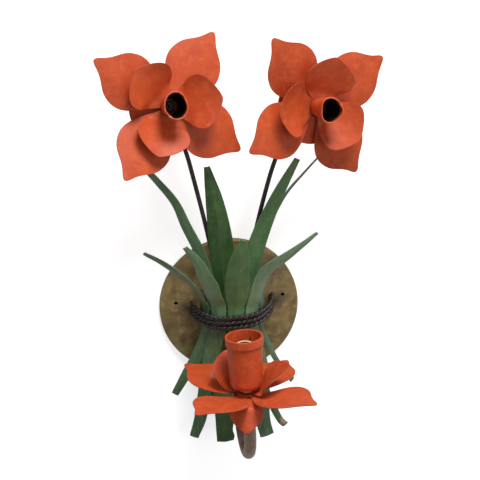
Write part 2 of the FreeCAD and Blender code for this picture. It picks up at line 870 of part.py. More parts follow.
# Each leaf is one creased strip that passes under the tie. Its rows run from the tip of the
# blade down to the end of the tail: offsets from the tie, half width, and the way it faces.
LEAVES = {
    "leaf_1": {
        "bearing": -64,
        "outside": True,
        "half": 8.0,
        "blade": [
            (-70, -31, 87, 2.0, -40),
            (-51, -27, 74, 4.0, -45),
            (-36, -22, 61, 5.5, -50),
            (-21, -16, 46, 7.0, -55),
            (-9, -9, 29, 8.0, -60),
        ],
        "tail": [
            (-1, -4, -28, 7.5, -45),
            (-10, -3, -54, 7.0, -30),
            (-22, -1, -76, 5.8, -20),
            (-35, 3, -102, 4.2, -10),
        ],
    },
    "leaf_2": {
        "bearing": -31,
        "outside": True,
        "half": 9.0,
        "blade": [
            (-40, -29, 96, 2.8, -20),
            (-27, -24, 78, 6.0, -22),
            (-19, -19, 60, 8.2, -25),
            (-10, -12, 40, 10.0, -28),
        ],
        "tail": [
            (-5, 1, -34, 9.0, -20),
            (-11, 4, -62, 8.5, -15),
            (-15, 8, -91, 8.0, -12),
            (-20, 13, -130, 7.4, -10),
            (-28, 17, -159, 5.5, -10),
        ],
    },
    "leaf_3": {
        "bearing": 0,
        "outside": True,
        "half": 9.0,
        "blade": [
            (5, -30, 104, 3.2, 0),
            (2, -23, 79, 11.0, 0),
            (0, -15, 55, 13.5, 0),
            (1, -8, 36, 14.6, 0),
        ],
        "tail": [(0, -2, -40, 9.0, 0), (3, -6, -70, 7.5, 0), (4, -7, -95, 6.0, 0)],
    },
    "leaf_4": {
        "bearing": 31,
        "outside": True,
        "half": 9.0,
        "blade": [
            (69, -30, 108, 1.8, 20),
            (50, -26, 91, 4.0, 24),
            (33, -21, 76, 6.5, 28),
            (19, -16, 64, 8.5, 30),
            (9, -11, 48, 9.8, 30),
        ],
        "tail": [
            (3, 2, -37, 9.5, 15),
            (9, 3, -63, 10.0, 10),
            (12, 6, -90, 9.6, 8),
            (14, 11, -135, 8.8, 5),
            (20, 14, -161, 8.6, 5),
        ],
    },
    "leaf_5": {
        "bearing": 62,
        "outside": True,
        "half": 6.0,
        "blade": [
            (63, -20, 194, 3.5, 78),
            (39, -16, 165, 5.5, 78),
            (25, -12, 146, 6.5, 78),
            (14, -8, 124, 7.0, 78),
            (-1, -2, 89, 7.0, 76),
            (-7, 0, 52, 6.5, 70),
        ],
        "tail": [
            (-1, -1, -20, 5.0, 55),
            (7, -1, -42, 4.2, 50),
            (18, 0, -65, 3.6, 45),
            (36, 2, -90, 3.6, 40),
        ],
    },
    "leaf_6": {
        "bearing": -50,
        "outside": False,
        "half": 6.5,
        "blade": [
            (-81, -14, 191, 3.0, -30),
            (-73, -14, 181, 3.6, -30),
            (-43, -11, 143, 5.0, -30),
            (-29, -8, 111, 6.5, -32),
            (-14, -6, 79, 7.2, -35),
            (-6, -4, 55, 7.2, -40),
            (-1, -2, 32, 7.0, -44),
        ],
        "tail": [(1, 1, -45, 6.5, -30), (3, 3, -80, 6.0, -15), (2, 4, -105, 5.0, -10)],
    },
    "leaf_7": {
        "bearing": -17,
        "outside": False,
        "half": 9.0,
        "blade": [
            (-23, -12, 184, 3.4, -5),
            (-17, -9, 157, 8.0, -6),
            (-12, -6, 130, 11.3, -8),
            (-6, 0, 86, 14.0, -10),
            (-2, 4, 34, 12.0, -13),
        ],
        "tail": [
            (-7, 3.5, -33, 10.8, -8),
            (-6.5, 4, -64, 11.4, -5),
            (-5, 4, -92, 11.5, -4),
            (-3, -1, -123, 11.0, -2),
            (-1, 6, -162, 10.0, 0),
        ],
    },
    "leaf_8": {
        "bearing": 17,
        "outside": False,
        "half": 7.5,
        "blade": [
            (58, -12, 190, 3.4, 10),
            (42, -9, 158, 6.2, 10),
            (29, -6, 128, 8.4, 12),
            (15, -2, 88, 10.8, 13),
            (5, 1, 38, 10.0, 14),
        ],
        "tail": [
            (9, 6, -38, 6.0, 15),
            (22, 11, -86, 5.0, 15),
            (42, 17, -135, 4.2, 12),
            (53, 19, -150, 3.8, 10),
        ],
    },
}


def leaf_rows(leaf):
    """The rows of a leaf as points with half widths and facings, straight under the tie."""
    point, normal = band_point(leaf["bearing"], leaf["outside"])
    rise = leaf_rise(leaf["half"]) if leaf["outside"] else 0.15
    tie = point + normal * rise
    facing = math.degrees(math.atan2(normal.x, -normal.y))
    middle = [(0, 0, level, leaf["half"], facing) for level in (9.0, -1.0, -13.0)]
    rows = []
    for x, y, z, half, face in leaf["blade"] + middle + leaf["tail"]:
        rows.append((tie + Vector(x, y, z), half, face))
    return rows


def between(before, start, end, after, share):
    """A smooth curve through four numbers or vectors, between the middle two."""
    return (
        start * 2
        + (end - before) * share
        + (before * 2 - start * 5 + end * 4 - after) * share ** 2
        + (start * 3 - before - end * 3 + after) * share ** 3
    ) * 0.5


def smooth_rows(rows, spacing):
    """More rows between the chosen ones, about one for each spacing."""
    padded = [rows[0]] + rows + [rows[-1]]
    finer = []
    for index in range(len(rows) - 1):
        four = padded[index:index + 4]
        run = (rows[index + 1][0] - rows[index][0]).Length
        steps = max(1, int(round(run / spacing)))
        for step in range(steps):
            share = step / steps
            finer.append(tuple(between(*(row[item] for row in four), share) for item in range(3)))
    finer.append(rows[-1])
    return finer


def leaf_section(point, along, half, face):
    """A creased strip cut across: the crease is at the point, its ridge to the front."""
    look = Vector(math.sin(math.radians(face)), -math.cos(math.radians(face)), 0)
    front = (look - along * look.dot(along)).normalize()
    side = along.cross(front)
    gauge = size("leaf_gauge")
    drop = crease * half
    left = point - side * half - front * drop
    right = point + side * half - front * drop
    corners = [left, point, right, right - front * gauge, point - front * gauge, left - front * gauge]
    return Part.makePolygon(corners + [left])


def leaf_solid(leaf):
    rows = smooth_rows(leaf_rows(leaf), 14.0)
    sections = []
    for index, (point, half, face) in enumerate(rows):
        above = rows[max(index - 1, 0)][0]
        below = rows[min(index + 1, len(rows) - 1)][0]
        sections.append(leaf_section(point, (above - below).normalize(), half, face))
    return Part.makeLoft(sections, True, False)


for label, leaf in LEAVES.items():
    solid_part(label, leaf_solid(leaf).cut(band))

# three hoops of twisted wire, brazed to the plate at both ends
tie_front = band_front - leaf_rise(LEAVES["leaf_3"]["half"]) - size("tie_radius") - 0.05


def tie_point(x, y, lift):
    """A point on a hoop, which slopes down to the front and up to the right."""
    return Vector(x, y, size("tie_level") + lift + 0.06 * (x - 6) + 0.22 * (y + 12))


def tie_route(lift):
    left = -size("tie_left")
    right = size("tie_right")
    plan = [
        (left, -size("plate_edge")),
        (left + 1.5, tie_front / 2 - 1),
        (left + 22.5, tie_front),
        (right - 25, tie_front),
        (right - 3, tie_front / 2 - 1),
        (right, -size("plate_edge") + 2),
    ]
    return [tie_point(x, y, lift) for x, y in plan]


for label, turn in (("tie_upper", 1), ("tie_middle", 0), ("tie_lower", -1)):
    route = tie_route(turn * size("tie_pitch"))
    hoop = rod(route, easy_radii(route), size("tie_radius"))
    solid_part(label, hoop.cut(fill_shape))

# ---------------------------------------------------------------- check and write

doc.recompute()
problems = []
for obj in doc.Objects:
    if "Invalid" in obj.State or "Error" in obj.State:
        problems.append("%s is %s" % (obj.Name, obj.State))
for obj in parts:
    if obj.Shape.isNull() or not obj.Shape.isValid() or obj.Shape.Volume <= 0:
        problems.append("%s has no sound shape" % obj.Label)
if problems:
    raise RuntimeError("; ".join(problems))

os.makedirs("parts", exist_ok=True)
for obj in parts:
    obj.Shape.exportStep("parts/%s.step" % obj.Label)
print("%d sub-parts written" % len(parts))
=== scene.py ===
import json
import math

import bpy
from mathutils import Matrix, Vector
from mathutils.bvhtree import BVHTree

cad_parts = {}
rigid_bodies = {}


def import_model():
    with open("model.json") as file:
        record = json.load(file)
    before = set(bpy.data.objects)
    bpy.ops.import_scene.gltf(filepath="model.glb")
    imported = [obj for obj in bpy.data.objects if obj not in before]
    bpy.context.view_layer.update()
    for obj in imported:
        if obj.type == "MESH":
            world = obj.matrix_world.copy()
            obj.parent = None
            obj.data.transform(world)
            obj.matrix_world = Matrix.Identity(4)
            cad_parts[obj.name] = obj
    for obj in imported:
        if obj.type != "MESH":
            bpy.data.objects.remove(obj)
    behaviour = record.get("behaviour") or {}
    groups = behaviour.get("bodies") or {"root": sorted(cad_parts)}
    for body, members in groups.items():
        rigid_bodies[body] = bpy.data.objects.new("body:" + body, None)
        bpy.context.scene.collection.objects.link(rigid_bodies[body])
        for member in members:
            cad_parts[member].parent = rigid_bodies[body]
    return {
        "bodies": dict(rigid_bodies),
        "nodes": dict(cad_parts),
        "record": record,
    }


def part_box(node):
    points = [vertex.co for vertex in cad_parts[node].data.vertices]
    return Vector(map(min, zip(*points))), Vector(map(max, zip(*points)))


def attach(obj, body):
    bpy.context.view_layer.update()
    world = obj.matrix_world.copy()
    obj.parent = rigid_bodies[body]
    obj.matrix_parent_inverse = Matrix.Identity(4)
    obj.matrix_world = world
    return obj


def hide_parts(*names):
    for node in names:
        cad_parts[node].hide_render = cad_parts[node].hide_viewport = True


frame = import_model()
nodes = frame["nodes"]
scene = bpy.context.scene
body = "sconce" if "sconce" in frame["bodies"] else "root"
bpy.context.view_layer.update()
mm = 0.001
print("loaded", len(nodes), "nodes")


# the camera stands where the photograph was taken from

view = {
    "azimuth": math.radians(-7.0),
    "elevation": math.radians(18.0),
    "distance": 1.6,
    "target": Vector((6.17, -60.0, 98.92)) * mm,
    "lens": 106.4,
    "sensor": 36.0,
    "pixels": 480,
}


def viewBack():
    flat = math.cos(view["elevation"])
    return Vector((
        math.sin(view["azimuth"]) * flat,
        -math.cos(view["azimuth"]) * flat,
        math.sin(view["elevation"]),
    ))


def addCamera():
    data = bpy.data.cameras.new("camera")
    data.lens = view["lens"]
    data.sensor_width = view["sensor"]
    data.clip_end = 20.0
    camera = bpy.data.objects.new("camera", data)
    camera.location = view["target"] + viewBack() * view["distance"]
    camera.rotation_euler = (-viewBack()).to_track_quat("-Z", "Y").to_euler()
    scene.collection.objects.link(camera)
    scene.camera = camera
    return camera


camera = addCamera()


def seenAt(pixel, name):  # the point of a node that the photograph shows at a pixel
    half = view["pixels"] / 2
    reach = view["pixels"] * view["lens"] / view["sensor"]
    ray = Vector(((pixel[0] - half) / reach, (half - pixel[1]) / reach, -1.0))
    ray = (camera.rotation_euler.to_matrix() @ ray).normalized()
    mesh = nodes[name].data
    tree = BVHTree.FromPolygons(
        [vertex.co for vertex in mesh.vertices], [face.vertices for face in mesh.polygons]
    )
    hit = tree.ray_cast(camera.location, ray)[0]
    if hit is None:
        hit = tree.find_nearest(camera.location + ray * view["distance"])[0]
    return hit


def boxMiddle(name):
    low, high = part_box(name)
    return (Vector(low) + Vector(high)) / 2


# shader helpers

def srgb(red, green, blue):  # a screen colour, 0 to 255, as linear values
    linear = []
    for value in (red, green, blue):
        value /= 255.0
        linear.append(value / 12.92 if value <= 0.04045 else ((value + 0.055) / 1.055) ** 2.4)
    return (*linear, 1.0)


def feed(tree, socket, value):  # a socket is linked, a plain value is set
    if isinstance(value, bpy.types.NodeSocket):
        tree.links.new(value, socket)
    else:
        socket.default_value = value


def put(tree, kind, inputs=None, **settings):
    node = tree.nodes.new(kind)
    for name, value in settings.items():
        setattr(node, name, value)
    for name, value in (inputs or {}).items():
        feed(tree, node.inputs[name], value)
    return node


def maths(tree, operation, first, second=0.0):
    return put(tree, "ShaderNodeMath", {0: first, 1: second}, operation=operation).outputs[0]


def vectors(tree, operation, first, second=None, scale=None):
    inputs = {0: first}
    if second is not None:
        inputs[1] = second
    if scale is not None:
        inputs["Scale"] = scale
    node = put(tree, "ShaderNodeVectorMath", inputs, operation=operation)
    return node.outputs["Value" if operation in ("DOT_PRODUCT", "LENGTH") else "Vector"]


def blendColours(tree, factor, first, second, mode="MIX"):
    node = put(tree, "ShaderNodeMix", data_type="RGBA", blend_type=mode)
    for index, value in ((0, factor), (6, first), (7, second)):
        feed(tree, node.inputs[index], value)
    return node.outputs[2]


def spread(tree, value, low, high, outLow=0.0, outHigh=1.0):
    inputs = {"Value": value, "From Min": low, "From Max": high, "To Min": outLow, "To Max": outHigh}
    return put(tree, "ShaderNodeMapRange", inputs).outputs["Result"]


def noise(tree, vector, scale, detail, roughness, distortion=0.0):
    inputs = {
        "Vector": vector,
        "Scale": scale,
        "Detail": detail,
        "Roughness": roughness,
        "Distortion": distortion,
    }
    return put(tree, "ShaderNodeTexNoise", inputs).outputs[0]


def surfacePlace(tree):
    return put(tree, "ShaderNodeTexCoord").outputs["Object"]


def makeGroup(name, inputs, outputs, build):
    group = bpy.data.node_groups.new(name, "ShaderNodeTree")
    kinds = {"colour": "NodeSocketColor", "value": "NodeSocketFloat", "vector": "NodeSocketVector"}
    for label, kind, default in inputs:
        socket = group.interface.new_socket(label, in_out="INPUT", socket_type=kinds[kind])
        socket.default_value = default
    for label, kind in outputs:
        group.interface.new_socket(label, in_out="OUTPUT", socket_type=kinds[kind])
    entry = group.nodes.new("NodeGroupInput")
    leave = group.nodes.new("NodeGroupOutput")
    for label, socket in build(group, entry.outputs).items():
        group.links.new(socket, leave.inputs[label])
    return group


def useGroup(tree, group, inputs):
    node = tree.nodes.new("ShaderNodeGroup")
    node.node_tree = group
    for name, value in inputs.items():
        feed(tree, node.inputs[name], value)
    return node.outputs


# effects that several materials share

def buildMottle(tree, given):  # slow patches of a darker and a lighter tone, with a fine grain
    place = vectors(tree, "SCALE", surfacePlace(tree), scale=given["Scale"])
    large = noise(tree, place, scale=1.0, detail=4.0, roughness=0.6)
    middle = noise(tree, place, scale=4.3, detail=5.0, roughness=0.65, distortion=0.4)
    fine = noise(tree, place, scale=26.0, detail=3.0, roughness=0.6)
    colour = blendColours(tree, spread(tree, large, 0.64, 0.36), given["Base"], given["Dark"])
    colour = blendColours(tree, spread(tree, middle, 0.48, 0.74), colour, given["Light"])
    grain = spread(tree, fine, 0.3, 0.7, 0.95, 1.05)
    shade = put(tree, "ShaderNodeCombineColor", {0: grain, 1: grain, 2: grain}).outputs[0]
    colour = blendColours(tree, 1.0, colour, shade, "MULTIPLY")
    return {"Colour": colour, "Patches": middle, "Grain": fine}


mottle = makeGroup(
    "mottle",
    [
        ("Scale", "value", 20.0),
        ("Base", "colour", srgb(128, 128, 128)),
        ("Dark", "colour", srgb(90, 90, 90)),
        ("Light", "colour", srgb(160, 160, 160)),
    ],
    [("Colour", "colour"), ("Patches", "value"), ("Grain", "value")],
    buildMottle,
)


def buildEdges(tree, given):  # where a surface turns a corner, and a normal that rounds it
    rounded = put(tree, "ShaderNodeBevel", {"Radius": given["Radius"]}, samples=6).outputs[0]
    facing = put(tree, "ShaderNodeNewGeometry").outputs["Normal"]
    agree = vectors(tree, "DOT_PRODUCT", rounded, facing)
    return {"Edge": spread(tree, agree, 0.995, given["Sharp"]), "Normal": rounded}


edges = makeGroup(
    "edges",
    [("Radius", "value", 0.0005), ("Sharp", "value", 0.80)],
    [("Edge", "value"), ("Normal", "vector")],
    buildEdges,
)


strokeStretch = 22.0  # how much longer than wide a brush line is


def buildStrokes(tree, given):  # lines of a brush drawn along a strip
    place = surfacePlace(tree)
    far = vectors(tree, "DOT_PRODUCT", place, given["Along"])
    length = vectors(tree, "SCALE", given["Along"], scale=far)
    across = vectors(tree, "SUBTRACT", place, length)
    across = vectors(tree, "SCALE", across, scale=given["Fine"])
    coarse = maths(tree, "DIVIDE", given["Fine"], strokeStretch)
    length = vectors(tree, "SCALE", length, scale=coarse)
    place = vectors(tree, "ADD", across, length)
    lines = noise(tree, place, scale=1.0, detail=4.0, roughness=0.6, distortion=0.3)
    return {"Lines": spread(tree, lines, 0.32, 0.68)}


strokes = makeGroup(
    "strokes",
    [("Along", "vector", (0.0, 0.0, 1.0)), ("Fine", "value", 420.0)],
    [("Lines", "value")],
    buildStrokes,
)


def buildSpot(tree, given):  # a ragged patch round a point: 1 in its middle, 0 outside
    place = vectors(tree, "SUBTRACT", surfacePlace(tree), given["Centre"])
    place = vectors(tree, "DIVIDE", place, given["Reach"])
    uneven = noise(tree, place, scale=2.2, detail=4.0, roughness=0.65)
    uneven = maths(tree, "MULTIPLY", maths(tree, "SUBTRACT", uneven, 0.5), given["Ragged"])
    far = maths(tree, "ADD", vectors(tree, "LENGTH", place), uneven)
    return {"Mask": spread(tree, far, 1.0, given["Core"])}


spot = makeGroup(
    "spot",
    [
        ("Centre", "vector", (0.0, 0.0, 0.0)),
        ("Reach", "vector", (0.01, 0.01, 0.01)),
        ("Core", "value", 0.3),
        ("Ragged", "value", 0.8),
    ],
    [("Mask", "value")],
    buildSpot,
)


# a coat of paint: what every finish starts and ends with

spotDefaults = {"core": 0.3, "ragged": 0.8, "amount": 1.0}
coatDefaults = {
    "bevel": 0.5 * mm,
    "sharp": 0.80,
    "wear": 0.6,
    "metal": 0.0,
    "specular": 0.45,
    "bump": 0.25,
    "bumpDepth": 0.4 * mm,
    "strokeBump": 0.8,
    "smoother": 0.07,
    "duller": 0.09,
}


def startCoat(name, look):
    look = coatDefaults | look
    material = bpy.data.materials.new(name)
    material.use_nodes = True
    tree = material.node_tree
    tones = {"Scale": look["scale"], "Base": look["base"], "Dark": look["dark"], "Light": look["light"]}
    mottled = useGroup(tree, mottle, tones)
    corner = useGroup(tree, edges, {"Radius": look["bevel"], "Sharp": look["sharp"]})
    return {
        "look": look,
        "material": material,
        "tree": tree,
        "colour": mottled["Colour"],
        "patches": mottled["Patches"],
        "height": mottled["Grain"],
        "corner": corner,
    }


def addSpot(coat, centre, mark):  # reach is in millimetres along x, y and z
    tree, mark = coat["tree"], spotDefaults | mark
    inputs = {
        "Centre": centre,
        "Reach": [side * mm for side in mark["reach"]],
        "Core": mark["core"],
        "Ragged": mark["ragged"],
    }
    mask = useGroup(tree, spot, inputs)["Mask"]
    factor = maths(tree, "MULTIPLY", mask, mark["amount"])
    coat["colour"] = blendColours(tree, factor, coat["colour"], coat["look"][mark["tone"]])


def addMarks(coat, marks):  # spots placed where the photograph shows them on a node
    for mark in marks:
        addSpot(coat, seenAt(mark["pixel"], mark["node"]), mark)


def addStrokes(coat, along):
    tree, look = coat["tree"], coat["look"]
    lines = useGroup(tree, strokes, {"Along": along, "Fine": look["fine"]})["Lines"]
    lined = maths(tree, "MULTIPLY", lines, look["strokeAmount"])
    coat["colour"] = blendColours(tree, lined, coat["colour"], look["stroke"])
    ridges = maths(tree, "MULTIPLY", lines, look["strokeBump"])
    coat["height"] = maths(tree, "ADD", coat["height"], ridges)


def finishCoat(coat):
    tree, look = coat["tree"], coat["look"]
    shader = tree.nodes["Principled BSDF"]
    worn = spread(tree, coat["patches"], 0.3, 0.6, 0.55, 1.0)
    worn = maths(tree, "MULTIPLY", worn, coat["corner"]["Edge"])
    worn = maths(tree, "MULTIPLY", worn, look["wear"])
    colour = blendColours(tree, worn, coat["colour"], look["edge"])
    tree.links.new(colour, shader.inputs["Base Color"])
    smooth, dull = look["rough"] - look["smoother"], look["rough"] + look["duller"]
    rough = spread(tree, coat["patches"], 0.3, 0.7, smooth, dull)
    tree.links.new(rough, shader.inputs["Roughness"])
    shader.inputs["Metallic"].default_value = look["metal"]
    shader.inputs["Specular IOR Level"].default_value = look["specular"]
    bumped = {
        "Height": coat["height"],
        "Normal": coat["corner"]["Normal"],
        "Strength": look["bump"],
        "Distance": look["bumpDepth"],
    }
    tree.links.new(put(tree, "ShaderNodeBump", bumped).outputs[0], shader.inputs["Normal"])
    return coat["material"]


def plainCoat(name, look):
    return finishCoat(startCoat(name, look))


def dress(names, material):
    for name in names:
        slots = nodes[name].data.materials
        slots.clear()
        slots.append(material)


def nodesOf(slotName):
    return [part["node"] for part in frame["record"]["subparts"] if part["material_slot"] == slotName]


# petals, calyx discs, lamp cup, its disc and spacer: orange paint, rubbed to brown along every edge

petalLook = {
    "scale": 26.0,
    "base": srgb(194, 79, 37),
    "dark": srgb(178, 65, 30),
    "light": srgb(204, 91, 47),
    "edge": srgb(126, 88, 70),
    "rough": 0.5,
    "wear": 1.0,
    "bevel": 0.9 * mm,
    "specular": 0.32,
    "bump": 0.16,
    # smoke and shade colour: painted shade with some soot round the hubs, and the dark seam of the lamp
    # cup
    "smokeAndShade": srgb(92, 38, 22),
    # pinkish grey of a painted highlight
    "petalHighlight": srgb(176, 128, 116),
    "slot": srgb(20, 12, 10),
}
# painted shade round each hub, where the trumpet and the petals shade the middle, with some soot
hubShadeAndSoot = {"reach": (21, 21, 21), "tone": "smokeAndShade", "core": 0.2, "amount": 0.45}
# a painted highlight, pinkish grey, on the back left petal of the lamp
petalHighlightMark = {
    "pixel": (215.5, 375.5), "node": "lamp_petal_back_left", "reach": (8, 14, 6), "tone": "petalHighlight",
    "amount": 0.75,
}
slotMark = {
    "pixel": (250.2, 338.5), "node": "lamp_cup", "reach": (0.8, 1.6, 3.4), "tone": "slot",
    "core": 0.7, "ragged": 0.1,
}
seamMark = {
    "pixel": (234.0, 331.0), "node": "lamp_cup", "reach": (0.6, 2.0, 1.6), "tone": "smokeAndShade",
    "core": 0.5, "ragged": 0.2,
}


def petalPaint():
    coat = startCoat("petalPaint", petalLook)
    for hub in ("left_spacer", "right_spacer", "lamp_spacer"):  # painted shade round each middle, with some soot
        addSpot(coat, boxMiddle(hub), hubShadeAndSoot)
    addMarks(coat, (petalHighlightMark, slotMark, seamMark))
    return finishCoat(coat)


dress(nodesOf("petal_paint"), petalPaint())
print("petals painted")


# trumpets of the two flowers: a rolled sheet with a lap seam and a thick turned lip

coronaLook = dict(
    petalLook,
    base=srgb(204, 84, 40),
    dark=srgb(188, 70, 32),
    light=srgb(216, 98, 54),
    # the edge colour lays a paler pink along the worn lip, partly a painted highlight
    edge=srgb(204, 146, 128),
    blackInside=srgb(5, 3, 3),
)

coronas = {
    "left": {"waves": ((0, -0.05, 0.0), (2, 0.07, 2.9), (3, 0.022, 2.1), (5, 0.008, 0.4)), "seam": 232},
    "right": {"waves": ((0, -0.07, 0.0), (2, 0.03, 2.4), (3, 0.055, 0.3), (5, 0.010, 1.0)), "seam": 20},
}
coronaForm = {
    "sides": 120,
    "rows": 26,
    "gauge": 1.0 * mm,
    "lip": 0.85 * mm,
    "lap": math.radians(16),
    "lapRise": 1.05,
    "lipSteps": 7,
    "lipSwell": 1.1,
    "near": 0.3 * mm,
    "blackFrom": 1.0 * mm,
    "blackTo": 6.0 * mm,
    "blackRagged": 1.5 * mm,
    # painted shade, with some soot, round the foot of each trumpet
    "shadeReach": 9.0 * mm,
    "shadeAmount": 0.5,
}


def meshPoints(name):
    return [vertex.co.copy() for vertex in nodes[name].data.vertices]


def coronaAxis(side):  # foot, direction, length and the two radii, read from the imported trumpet
    hub = boxMiddle(side + "_spacer")
    points = meshPoints(side + "_corona")
    near = coronaForm["near"]
    reach = max((point - hub).length for point in points)
    rim = [point for point in points if (point - hub).length > reach - near]
    mouth = sum(rim, Vector()) / len(rim)
    axis = (mouth - hub).normalized()
    levels = [(point - hub).dot(axis) for point in points]
    foot = hub + axis * min(levels)
    wide = max((point - mouth).length for point in rim)
    low = [point for point, level in zip(points, levels) if level < min(levels) + near]
    narrow = max((point - foot).length for point in low)
    return {
        "foot": foot, "axis": axis, "length": max(levels) - min(levels), "narrow": narrow, "wide": wide,
    }


def coronaProfile(form):  # distance along and offset outwards: up the outside, round the lip, down
    length, rows, gauge = form["length"], coronaForm["rows"], coronaForm["gauge"]
    lip, swell, middle = coronaForm["lip"], coronaForm["lipSwell"], -gauge / 2
    profile = []
    for row in range(rows + 1):
        profile.append((length * row / rows, 0.0))
    for step in range(coronaForm["lipSteps"] + 1):
        turn = math.pi * step / coronaForm["lipSteps"]
        profile.append((length + lip * math.sin(turn), middle + lip * swell * math.cos(turn)))
    for row in range(rows, -1, -1):
        profile.append((length * row / rows, -gauge))
    return profile


def addCorona(side, material):
    form = coronaAxis(side)
    shape = coronas[side]
    axis = form["axis"]
    right = Vector((0, 0, 1)).cross(axis).normalized()
    up = axis.cross(right)
    profile = coronaProfile(form)
    sides, gauge = coronaForm["sides"], coronaForm["gauge"]
    full = 2 * math.pi + coronaForm["lap"]
    points = []
    for turn in range(sides + 1):
        swept = full * turn / sides
        angle = swept + math.radians(shape["seam"])
        rise = gauge * coronaForm["lapRise"] * (1 - swept / full)
        wave = sum(size * math.cos(count * angle + phase) for count, size, phase in shape["waves"])
        offset = right * math.cos(angle) + up * math.sin(angle)
        for along, out in profile:
            share = min(along / form["length"], 1.0)
            radius = form["narrow"] + (form["wide"] - form["narrow"]) * share
            radius = radius * (1 + wave * share ** 2) + out + (rise - gauge) * share
            points.append(form["foot"] + axis * along + offset * radius)
    count = len(profile)
    faces = []
    for turn in range(sides):
        for row in range(count - 1):
            first = turn * count + row
            faces.append((first, first + 1, first + count + 1, first + count))
        first = turn * count
        faces.append((first + count - 1, first, first + count, first + 2 * count - 1))
    faces.append(tuple(range(count)))
    faces.append(tuple(reversed(range(sides * count, (sides + 1) * count))))
    mesh = bpy.data.meshes.new(side + "_corona_rolled")
    mesh.from_pydata(points, [], faces)
    mesh.polygons.foreach_set("use_smooth", [True] * len(mesh.polygons))
    mesh.materials.append(material)
    mesh.update()
    piece = bpy.data.objects.new(side + "_corona_rolled", mesh)
    scene.collection.objects.link(piece)
    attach(piece, body)
    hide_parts(side + "_corona")


def coronaPaint(side):  # orange outside, black from a little way inside the lip
    form = coronaAxis(side)
    coat = startCoat(side + "CoronaPaint", coronaLook)
    tree = coat["tree"]
    place = vectors(tree, "SUBTRACT", surfacePlace(tree), form["foot"])
    level = vectors(tree, "DOT_PRODUCT", place, form["axis"])
    outward = vectors(tree, "SUBTRACT", place, vectors(tree, "SCALE", form["axis"], scale=level))
    facing = vectors(tree, "DOT_PRODUCT", outward, put(tree, "ShaderNodeNewGeometry").outputs["Normal"])
    inside = maths(tree, "LESS_THAN", facing, 0.0)
    waver = coronaForm["blackRagged"]
    ragged = spread(tree, coat["patches"], 0.3, 0.7, -waver, waver)
    depth = maths(tree, "SUBTRACT", maths(tree, "ADD", form["length"], ragged), level)
    # the inner face turns near black from a little way inside the lip
    blackDepth = spread(tree, depth, coronaForm["blackFrom"], coronaForm["blackTo"])
    blackInside = maths(tree, "MULTIPLY", inside, blackDepth)
    coat["colour"] = blendColours(tree, blackInside, coat["colour"], coronaLook["blackInside"])
    foot = spread(tree, level, coronaForm["shadeReach"], 0.0)  # painted shade round the foot, with some soot
    smokeAndShade = maths(tree, "MULTIPLY", foot, coronaForm["shadeAmount"])
    coat["colour"] = blendColours(tree, smokeAndShade, coat["colour"], coronaLook["smokeAndShade"])
    return finishCoat(coat)


for side in coronas:
    material = coronaPaint(side)
    dress([side + "_corona"], material)
    addCorona(side, material)
print("trumpets rolled")


# leaves and their band: green paint brushed along each strip, rubbed pale along the crease, with painted
# shade below the tie

leafLook = {
    "scale": 30.0,
    "edge": srgb(124, 142, 108),
    "rough": 0.42,
    "wear": 0.8,
    "bevel": 1.0 * mm,
    "sharp": 0.975,
    "fine": 420.0,
    "strokeAmount": 0.42,
    # painted shade on the tails below the tie
    "tail": srgb(50, 82, 38),
    "tailFrom": 8.0,
    "tailTo": -20.0,
    "tailAmount": 0.8,
    "darker": -16,
    "lighter": 12,
    "brushed": 26,
    "patch": srgb(186, 140, 128),
}
patchMark = {"pixel": (283.5, 419.5), "node": "leaf_8", "reach": (6, 8, 8), "tone": "patch", "amount": 0.8}
leafTones = {  # base colour of each strip, with painted shade: darker where it stands behind the others
    "leaf_1": (88, 114, 80),
    "leaf_2": (104, 136, 98),
    "leaf_3": (82, 118, 70),
    "leaf_4": (114, 142, 108),
    "leaf_5": (92, 112, 92),
    "leaf_6": (86, 120, 80),
    "leaf_7": (64, 98, 50),
    "leaf_8": (86, 124, 76),
    "leaf_band": (46, 72, 36),
}


def stripDirection(name):
    points = sorted(meshPoints(name), key=lambda point: point.z)
    few = max(1, len(points) // 12)
    top = sum(points[-few:], Vector()) / few
    foot = sum(points[:few], Vector()) / few
    return (top - foot).normalized()


def toned(tone, change):
    return srgb(*(min(255, max(0, value + change)) for value in tone))


def leafPaint(name, tone):
    look = dict(
        leafLook,
        base=srgb(*tone),
        dark=toned(tone, leafLook["darker"]),
        light=toned(tone, leafLook["lighter"]),
        stroke=toned(tone, leafLook["brushed"]),
    )
    coat = startCoat(name + "Paint", look)
    tree = coat["tree"]
    height = put(tree, "ShaderNodeSeparateXYZ", {0: surfacePlace(tree)}).outputs["Z"]
    shaded = spread(tree, height, look["tailFrom"] * mm, look["tailTo"] * mm, 0.0, look["tailAmount"])
    coat["colour"] = blendColours(tree, shaded, coat["colour"], look["tail"])  # painted shade: darker below the tie, where the lamp flower shades the tails
    addStrokes(coat, stripDirection(name))
    if name == patchMark["node"]:
        addMarks(coat, [patchMark])
    return finishCoat(coat)


for name, tone in leafTones.items():
    dress([name], leafPaint(name, tone))
print("leaves painted")
